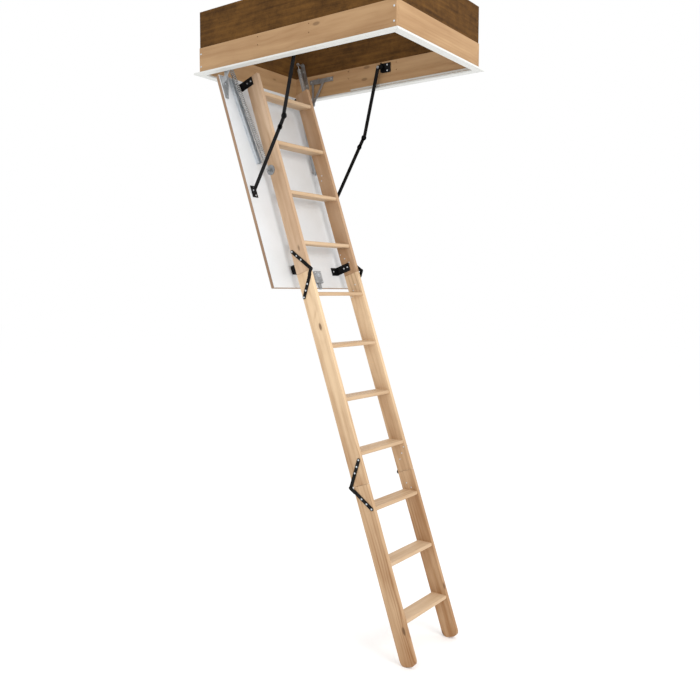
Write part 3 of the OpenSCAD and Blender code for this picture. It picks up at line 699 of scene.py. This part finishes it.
anchor_bolts = [(0.438, 0.034), (0.462, 0.024)]
bolts = {body: [] for section, body in sections}
bolts["hatch"] += anchor_bolts
for cad, pin, way, outer, body in leaf_plan:
    covered = cad == "lower_hinge_lower_leaves"
    bolts[body] += [leaf_point(pin, way, reach) for reach in leaf_screws[: 2 if covered else 3]]
for body, places in bolts.items():
    settle(bolt_ends("bolt_ends_" + body, places), body, zinc_bright, "zinc_steel")

# %% [markdown]
# Two elbow arms a side hold the hatch open. Each is a pressed bar, narrow and stiff, with a round
# eye at the elbow and a rivet through it. The lower arm has a second eye, where it comes to rest
# against the upper one. They turn about pins in the wall and on the hatch.

# %% Elbow arms
wall_pin = joints["upper_arm_turn"]["pos_m"]
hatch_pin = joints["lower_arm_turn"]["pos_m"]
upper_low, upper_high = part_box("upper_elbow_arms")
lower_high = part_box("lower_elbow_arms")[1]
arm_width, arm_thick, eye, rivet, rivet_head = 0.019, 0.004, 0.0135, 0.006, 0.003
stop_reach = 0.052
elbow = Vector((upper_low.x + eye, upper_low.z + eye))
wall_point = Vector((wall_pin[0], wall_pin[2]))
hatch_point = Vector((hatch_pin[0], hatch_pin[2]))
stop = elbow + (hatch_point - elbow).normalized() * stop_reach


def arm(name, start, end, eyes, inner, head_from, head_to):
    outer = inner + arm_thick
    pieces = [bar(name, start, end, arm_width, inner, outer, 0.0008)]
    pieces += [dome("eye", place, eye, inner, outer) for place in eyes]
    pieces += [dome("rivet", place, rivet, head_from, head_to) for place in eyes]
    return both_sides(join(name, pieces))


upper_inner = upper_high.y - rivet_head - arm_thick
lower_inner = lower_high.y - arm_thick
arm_plan = [
    ("upper_elbow_arms", wall_point, elbow, [elbow], upper_inner, upper_inner + arm_thick,
     upper_high.y),
    ("lower_elbow_arms", elbow, hatch_point, [elbow, stop], lower_inner, lower_inner,
     lower_inner - rivet_head),
]
for cad, *places in arm_plan:
    settle(arm("bars_" + cad, *places), cad, black_coat.material, "black_steel", cad)

# %% [markdown]
# A coil spring a side balances the hatch. A true coil shows far more than a tube does: a small
# circle stands for the wire, and the Screw modifier winds it round the axis. The hooks at both
# ends are bent wire, drawn as a curve and turned into a mesh.

# %% Wire and coil
def wire(name, points, radius):
    bpy.ops.object.select_all(action="DESELECT")
    bpy.ops.curve.primitive_nurbs_path_add()
    obj = bpy.context.object
    obj.name = name
    curve = obj.data
    curve.splines.clear()
    spline = curve.splines.new("NURBS")
    spline.points.add(len(points) - 1)
    for point, place in zip(spline.points, points):
        point.co = (*place, 1.0)
    spline.use_endpoint_u = True
    spline.order_u = 4
    curve.dimensions = "3D"
    curve.bevel_depth = radius
    curve.bevel_resolution = 2
    curve.use_fill_caps = True
    curve.resolution_u = 3
    alone(obj)
    bpy.ops.object.convert(target="MESH")
    return baked()


def coil(name, radius, wire_radius, pitch, turns):
    bpy.ops.object.select_all(action="DESELECT")
    bpy.ops.mesh.primitive_circle_add(vertices=8, radius=wire_radius, location=(radius, 0, 0),
                                      rotation=(pi / 2, 0, 0))
    obj = baked()
    obj.name = name
    modify(obj, "SCREW", screw_offset=pitch, iterations=turns, steps=16, render_steps=16,
           use_merge_vertices=False)
    mended(obj)
    bpy.ops.object.mode_set(mode="EDIT")
    bpy.ops.mesh.select_all(action="SELECT")
    bpy.ops.mesh.fill_holes(sides=0)
    bpy.ops.object.mode_set(mode="OBJECT")
    return mended(obj)


# %% [markdown]
# Each spring runs from the pin on the wall to the toothed anchor on the string. It is made along Z,
# hooks and all, and then turned to lie between the two. A hook is a loop, a straight neck and a
# bend out to the first turn of the coil. Seen from the side, the lower hook meets the anchor at
# both ends of the travel, and is up to 42 mm off it between.

# %% Springs
spring_top = Vector(joints["spring_turn"]["pos_m"])
top_y, low_y = 0.290, 0.212
low_end = on_ladder @ Vector((0.450, 0.0, 0.018))
wire_radius, coil_radius, turns = 0.0021, 0.0089, 66
coil_start, coil_stop = 0.030, 0.045
loop_radius, neck, shoulder, low_shoulder = 0.0062, 0.014, 0.022, 0.034
bend_out, lead, wire_slip = 0.004, 0.003, 0.001
for side, sign in (("right", 1), ("left", -1)):
    top = Vector((spring_top.x, sign * top_y, spring_top.z))
    low = Vector((low_end.x, sign * low_y, low_end.z))
    reach = (low - top).length
    pitch = (reach - coil_start - coil_stop) / turns
    body = coil("coil", coil_radius, wire_radius, pitch, turns)
    body.data.transform(Matrix.Translation((0, 0, coil_start)))
    angles = [radians(degrees) for degrees in range(-150, 151, 25)]
    curl = [(loop_radius * sin(a), 0, -loop_radius * cos(a)) for a in angles]
    head = curl + [(0, 0, neck), (0, 0, shoulder), (bend_out, 0, coil_start - lead),
                   (coil_radius, wire_slip, coil_start)]
    tail = [(coil_radius, -wire_slip, reach - coil_stop), (bend_out, 0, reach - coil_stop + lead),
            (0, 0, reach - low_shoulder), (0, 0, reach - neck)]
    tail += [(x, y, reach - z) for x, y, z in reversed(curl)]
    hooks = [wire("head", head, wire_radius), wire("tail", tail, wire_radius)]
    spring = join("spring_" + side, [body] + hooks)
    axis = (low - top).normalized()
    across = Vector((0, 1, 0)).cross(axis).normalized()
    turn = Matrix((across, axis.cross(across), axis)).transposed().to_4x4()
    turn.translation = top
    spring.matrix_world = turn
    alone(spring)
    baked()
    settle(spring, "springs", spring_wire, "spring_steel", *(["springs"] if sign > 0 else []),
           smooth=60, flat_faces=False)
    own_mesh(spring)

# %% [markdown]
# Bought hardware has no sharp edges: plate is stamped and the rims break the light. The frame's
# own solids have the right shapes for the plates, brackets and boards, so a copy of each is
# merged to clean faces, and a fine bevel rounds every edge.

# %% Softened plates and boards
flat_within, edge_over = radians(0.5), radians(50)


def softened(node, name, width):
    obj = nodes[node].copy()
    obj.data = nodes[node].data.copy()
    for key in [k for k in obj.keys() if k.startswith("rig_")]:
        del obj[key]
    obj.parent = None
    obj.name = name
    bpy.context.scene.collection.objects.link(obj)
    alone(obj)
    bpy.ops.object.mode_set(mode="EDIT")
    bpy.ops.mesh.select_all(action="SELECT")
    bpy.ops.mesh.remove_doubles(threshold=merge_distance)
    bpy.ops.mesh.dissolve_limited(angle_limit=flat_within)
    bpy.ops.object.mode_set(mode="OBJECT")
    return modify(obj, "BEVEL", width=width, segments=2, limit_method="ANGLE",
                  angle_limit=edge_over)


plate_plan = [
    ("hinge_plates", "casing", zinc_plate, "zinc_steel", 0.0005),
    ("spring_posts", "casing", zinc_plate, "zinc_steel", 0.0005),
    ("strike_plate", "casing", zinc_plate, "zinc_steel", 0.0004),
    ("arm_frame_brackets", "casing", black_coat.material, "black_steel", 0.0006),
    ("swing_levers", "swing_levers", zinc_plate, "zinc_steel", 0.0005),
    ("hatch_hinge_plates", "hatch", zinc_plate, "zinc_steel", 0.0005),
    ("spring_channels", "hatch", zinc_bright, "zinc_steel", 0.0005),
    ("top_standoffs", "hatch", black_coat.material, "black_steel", 0.0008),
    ("bottom_standoffs", "hatch", black_coat.material, "black_steel", 0.0008),
    ("arm_hatch_brackets", "hatch", black_coat.material, "black_steel", 0.0006),
    ("spring_anchors", "hatch", zinc_plate, "zinc_steel", 0.0005),
    ("lock_case", "hatch", zinc_plate, "zinc_steel", 0.0015),
    ("trim_left", "casing", trim_white, "trim_white", 0.0012),
    ("trim_right", "casing", trim_white, "trim_white", 0.0012),
    ("trim_front", "casing", trim_white, "trim_white", 0.0012),
    ("trim_hinge_end", "casing", trim_white, "trim_white", 0.0012),
    ("hatch_upper_skin", "hatch", panel_grey, "panel_grey", 0.0006),
    ("hatch_lower_skin", "hatch", panel_white, "panel_white", 0.0008),
    ("surround_boards", "casing", surround.material, "surround_wood", 0.0015),
    ("casing_left_board", "casing", lining_long, "casing_wood", 0.0012),
    ("casing_right_board", "casing", lining_long, "casing_wood", 0.0012),
    ("casing_hinge_board", "casing", lining_short, "casing_wood", 0.0012),
    ("casing_front_board", "casing", lining_short, "casing_wood", 0.0012),
]
for cad, body, finish, slot, width in plate_plan:
    settle(softened(cad, "soft_" + cad, width), body, finish, slot, cad)

# %% [markdown]
# The lock case is screwed to the hatch at its corners, and a raised collar guides the spindle. The
# collar is a ring pressed flat; the screws are small domes.

# %% Lock fittings
collar_radius, collar_wire, pressed_above = 0.0118, 0.002, 0.0012
case_screw_radius, case_screw_height, case_screw_rim, screw_inset = 0.003, 0.0016, 0.0006, 0.007


def lock_fittings():
    low, high = slanted_box("lock_case")
    spindle_low, spindle_high = slanted_box("lock_spindle")
    centre = (spindle_low + spindle_high) / 2
    bpy.ops.object.select_all(action="DESELECT")
    bpy.ops.mesh.primitive_torus_add(major_radius=collar_radius, minor_radius=collar_wire,
                                     major_segments=32, minor_segments=8,
                                     location=(centre.x, 0, high.z))
    collar = baked()
    shape(collar, "VERT", lambda place, n: place.z > high.z + pressed_above,
          bpy.ops.transform.resize, value=(1, 1, 0))
    pieces = [collar]
    for along in (low.x + screw_inset, high.x - screw_inset):
        for across in (low.y + screw_inset, high.y - screw_inset):
            bpy.ops.object.select_all(action="DESELECT")
            bpy.ops.mesh.primitive_cylinder_add(vertices=20, radius=case_screw_radius,
                                                depth=case_screw_height,
                                                location=(along, across, high.z))
            head = baked()
            shape(head, "EDGE", lambda m, way: m.z > high.z + 0.0007, bpy.ops.mesh.bevel,
                  offset=case_screw_rim, segments=3)
            pieces.append(head)
    return hang(join("lock_fittings", pieces))


settle(lock_fittings(), "hatch", zinc_bright, "zinc_steel")

# %% [markdown]
# All screws have the same low, round head with a socket for the key. One head is turned from a
# cylinder: its rim is rounded, its face inset and the middle pressed down.

# %% One screw head
head_radius, head_height = 0.0042, 0.0016
rim_radius, face_inset, socket_rim, socket_depth = 0.0007, 0.0014, 0.0002, 0.0009


def screw_head():
    bpy.ops.object.select_all(action="DESELECT")
    bpy.ops.mesh.primitive_cylinder_add(vertices=18, radius=head_radius, depth=head_height,
                                        location=(0, 0, -head_height / 2))
    head = baked()
    shape(head, "EDGE", lambda m, way: m.z > -1e-5, bpy.ops.mesh.bevel,
          offset=rim_radius, segments=3)
    middle = lambda m, n: n.z > 0.9 and Vector((m.x, m.y)).length < 1e-4
    shape(head, "FACE", middle, bpy.ops.mesh.inset, thickness=face_inset)
    shape(head, "FACE", middle, bpy.ops.mesh.inset, thickness=socket_rim)
    shape(head, "FACE", middle, bpy.ops.transform.translate, value=(0, 0, -socket_depth))
    return head


# %% [markdown]
# The head is copied to every screw of the frame. A screw's place is read from its own solid: the
# axis is the direction in which its points spread most, and the head is at the fat end. Only a
# head has points as far from the axis as clear_of_shank.

# %% A head on every screw
clear_of_shank = 0.0035


def loose_parts(node):
    """The separate solids of a frame node, each as a list of points."""
    copy = twin(nodes[node], Matrix())
    alone(copy)
    bpy.ops.object.mode_set(mode="EDIT")
    bpy.ops.mesh.select_all(action="SELECT")
    bpy.ops.mesh.remove_doubles(threshold=merge_distance)
    bpy.ops.mesh.separate(type="LOOSE")
    bpy.ops.object.mode_set(mode="OBJECT")
    parts = list(bpy.context.selected_objects)
    points = [[v.co.copy() for v in part.data.vertices] for part in parts]
    bpy.ops.object.delete()
    return sorted(points, key=lambda part: tuple(round(c, 5) for c in part[0]))


def head_place(points):
    centre = sum(points, Vector()) / len(points)
    axis = Vector((0.3, 0.5, 0.8))
    for _ in range(40):  # each round turns the axis closer to the direction of most spread
        axis = sum(((p - centre).dot(axis) * (p - centre) for p in points), Vector()).normalized()
    fat = [p for p in points
           if ((p - centre) - (p - centre).dot(axis) * axis).length > clear_of_shank]
    if sum((p - centre).dot(axis) for p in fat) < 0:
        axis = -axis
    top = centre + max((p - centre).dot(axis) for p in points) * axis
    turn = axis.to_track_quat("Z", "Y").to_matrix().to_4x4()
    turn.translation = top
    return turn


model_head = screw_head()
for cad, body in (("frame_screws", "casing"), ("hatch_screws", "hatch"),
                  ("middle_screws", "middle_section"), ("bottom_screws", "bottom_section")):
    heads = [twin(model_head, head_place(points)) for points in loose_parts(cad)]
    print(cad, "has", len(heads), "screws")
    settle(join("heads_" + cad, heads), body, zinc_bright, "zinc_steel", cad)
alone(model_head)
bpy.ops.object.delete()

# %% [markdown]
# The remaining solids keep their shapes and only take their finishes.

# %% Finishes of the frame's own nodes
plain_finish = {
    "casing_seal": seal_foam.material,
    "frame_pivot_pins": zinc_plate,
    "hatch_pivot_pins": zinc_plate,
    "hatch_long_rails": edge_wood,
    "hatch_short_rails": edge_wood,
    "hatch_insulation": foam,
    "lock_rosette": zinc_bright,
    "lock_spindle": zinc_bright,
    "lock_bolt": zinc_plate,
}
for cad, finish in plain_finish.items():
    nodes[cad].data.materials.clear()
    nodes[cad].data.materials.append(finish)
print("finished nodes:", len(plain_finish))

# %% [markdown]
# The ladder stands on a plain pale floor under even studio light: a bright surrounding, one large
# soft lamp before the treads, and a weak one from the left.

# %% Floor and light
floor_z = cad_box[0][2]
floor_size = 60
bpy.ops.object.select_all(action="DESELECT")
bpy.ops.mesh.primitive_plane_add(size=floor_size, location=(0, 0, floor_z))
floor = bpy.context.object
floor.name = "studio_floor"
floor_paint = Paint("floor_pale", Base_Color=(1, 1, 1, 1), Roughness=1.0, Specular_IOR_Level=0.0)
floor.data.materials.append(floor_paint.material)

world = bpy.data.worlds.new("studio")
world.use_nodes = True
world.node_tree.nodes["Background"].inputs["Color"].default_value = (1, 1, 1, 1)
world.node_tree.nodes["Background"].inputs["Strength"].default_value = 1.0
bpy.context.scene.world = world


def lamp(name, place, target, size, power):
    bpy.ops.object.select_all(action="DESELECT")
    bpy.ops.object.light_add(type="AREA", location=place)
    obj = bpy.context.object
    obj.name = name
    obj.data.size = size
    obj.data.energy = power
    obj.rotation_euler = (Vector(target) - Vector(place)).to_track_quat("-Z", "Y").to_euler()
    return obj


ladder_middle = (0, 0, -1.3)
lamp("front_lamp", (4.2, -0.9, 0.3), ladder_middle, 2.2, 85)
lamp("side_lamp", (-0.5, -4.2, -0.6), ladder_middle, 2.4, 12)
print("floor at", round(floor_z, 4), "m")

# %% [markdown]
# The camera stands in front of the ladder, a little to its right and half-way down, and looks
# slightly downwards.

# %% Camera
azimuth, dip, roll = 0.631137, 0.074584, 0.003107
sensor_width = 36
focal_ratio = 781.334 / 700
camera_place = Vector((2.25027, -2.97459, -1.02322))
ahead = Vector((-sin(azimuth) * cos(dip), cos(azimuth) * cos(dip), -sin(dip)))
level = Vector((cos(azimuth), sin(azimuth), 0))
above = level.cross(ahead)
camera_right = cos(roll) * level + sin(roll) * above
camera_up = cos(roll) * above - sin(roll) * level
stand = Matrix((camera_right, camera_up, -ahead)).transposed().to_4x4()
stand.translation = camera_place
bpy.ops.object.camera_add()
camera = bpy.context.object
camera.matrix_world = stand
camera.data.sensor_width = sensor_width
camera.data.lens = focal_ratio * sensor_width
bpy.context.scene.camera = camera
bpy.context.scene.view_settings.view_transform = "Standard"
print("lens", round(camera.data.lens, 2), "mm")
